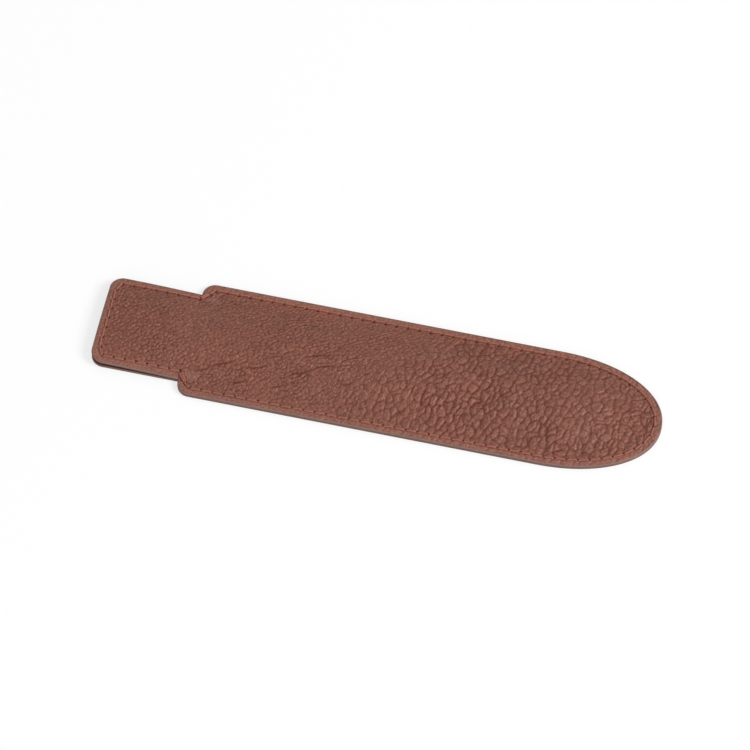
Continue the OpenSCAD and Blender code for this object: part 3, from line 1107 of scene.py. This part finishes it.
def doubledStitches(side):
    start, end = backstitchLine(side)
    run = (end - start) / np.linalg.norm(end - start)
    beside = np.array([-run[1], run[0]]) * doubled["beside"]
    return [(start + beside * k, end + run * doubled["stagger"] * k + beside * k * doubled["spread"])
            for k in (-1, 1)]


def threadSurface(x, y):
    return frontTop(x, y) - frontSkin["stitchValley"]


def makeThreads():
    seam, tab = stitchesBetween(seamHoles), stitchesBetween(tabHoles)
    groove, inner = atHeight(grooveHeight), atHeight(sleeve["leaf"])
    top, bottom = (topThread, threadSurface, 1), (bottomThread, groove, -1)
    doubledTop = (backstitch, threadSurface, 1)
    return {
        "seamTop": makeRow("seam_top_stitches", "seam_top_thread", seam, *top),
        "seamBottom": makeRow("seam_bottom_stitches", "seam_bottom_thread", seam, *bottom),
        "frontTop": makeRow("front_tab_top_stitches", "front_tab_top_thread", tab, *top),
        "frontBottom": makeRow("front_tab_bottom_stitches", "front_tab_bottom_thread", tab,
                               bottomThread, frontInside, -1),
        "backTop": makeRow("back_tab_top_stitches", "back_tab_top_thread", tab, bottomThread, inner, 1),
        "backBottom": makeRow("back_tab_bottom_stitches", "back_tab_bottom_thread", tab, *bottom),
        "left": makeRow("left_shoulder_doubled_stitch", "left_shoulder_backstitch",
                        doubledStitches(1), *doubledTop),
        "right": makeRow("right_shoulder_doubled_stitch", "right_shoulder_backstitch",
                         doubledStitches(-1), *doubledTop),
    }


threads = makeThreads()
print("stitches made")


# What moves with what: the skins, linings and tab trim keep their place, and the body's edge bead and its
# stitches go with the pocket
def attach():
    for piece in (frontLeather, frontLining, frontTabEdge, threads["frontTop"], threads["frontBottom"]):
        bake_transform(piece)
    for piece in (backLeather, backLining, backTabEdge, threads["backTop"], threads["backBottom"]):
        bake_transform(piece)
    for piece in (bodyEdge, threads["seamTop"], threads["seamBottom"], threads["left"], threads["right"]):
        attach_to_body(piece, "pocket")


attach()
print("pieces attached to their bodies")


# Table, light and camera
studio = {
    "tableSize": 6,            # metres, as are the lamps' places and sizes
    "tableColour": (0.3, 0.3, 0.3, 1),
    "tableRoughness": 0.9,
    "tableSpecular": 0.1,
    "tableGlow": 0.7,          # added for the camera only, so that the lit table is white
    "ambient": 0.36,
    "lamps": {                 # place, size and power
        "key": ((2.7, -0.35, 2.2), 1.4, 94.0),
        "far fill": ((-0.6, 1.5, 1.8), 1.6, 5.0),
        "near fill": ((0.2, -2.2, 1.3), 1.8, 16.0),
    },
}
cameraView = {
    "azimuth": 12.76,
    "elevation": 58.61,
    "distance": 2054.6,
    "lens": 314.4,
    "sensor": 36,
    "aim": (-1.62, 0.19, 0.0),
}


def seenDirectly(tree):
    path = addNode(tree, "ShaderNodeLightPath", (-600, 300))
    camera, glossy = path.outputs["Is Camera Ray"], path.outputs["Is Glossy Ray"]
    seen = mathNode(tree, (-400, 300), "MAXIMUM", camera, glossy)
    return mathNode(tree, (-250, 300), "MAXIMUM", seen, path.outputs["Is Transmission Ray"])


def makeTable():
    bpy.ops.mesh.primitive_plane_add(size=studio["tableSize"])
    table = bpy.context.object
    table.name = "table"
    material, tree, shader = newMaterial("paleTable")
    glow = mathNode(tree, (0, -300), "MULTIPLY", seenDirectly(tree), studio["tableGlow"])
    feed(tree, shader, {
        "Base Color": studio["tableColour"], "Roughness": studio["tableRoughness"],
        "Specular IOR Level": studio["tableSpecular"], "Emission Color": (1, 1, 1, 1),
        "Emission Strength": glow})
    table.data.materials.append(material)


def makeWorld():
    world = bpy.data.worlds.new("studio")
    bpy.context.scene.world = world
    world.use_nodes = True
    tree = world.node_tree
    lift = mathNode(tree, (-100, 300), "MULTIPLY", seenDirectly(tree), 1 - studio["ambient"])
    strength = mathNode(tree, (50, 300), "ADD", lift, studio["ambient"])
    feed(tree, tree.nodes["Background"], {"Color": (1, 1, 1, 1), "Strength": strength})


def makeLamp(name, place, size, power):
    data = bpy.data.lights.new(name, "AREA")
    data.size = size
    data.energy = power
    lamp = bpy.data.objects.new(name, data)
    bpy.context.scene.collection.objects.link(lamp)
    lamp.location = place
    lamp.rotation_euler = (-Vector(place)).to_track_quat("-Z", "Y").to_euler()


def makeCamera():
    data = bpy.data.cameras.new("view")
    camera = bpy.data.objects.new("view", data)
    bpy.context.scene.collection.objects.link(camera)
    azimuth, elevation = math.radians(cameraView["azimuth"]), math.radians(cameraView["elevation"])
    back = Vector((math.sin(azimuth) * math.cos(elevation), -math.cos(azimuth) * math.cos(elevation),
                   math.sin(elevation)))
    camera.location = (Vector(cameraView["aim"]) + back * cameraView["distance"]) / 1000
    camera.rotation_euler = (-back).to_track_quat("-Z", "Y").to_euler()
    data.sensor_width = cameraView["sensor"]
    data.lens = cameraView["lens"]
    data.clip_end = 50
    bpy.context.scene.camera = camera


makeTable()
makeWorld()
for lampName, (place, size, power) in studio["lamps"].items():
    makeLamp(lampName, place, size, power)
makeCamera()
bpy.context.scene.view_settings.view_transform = "Standard"
print("studio made")
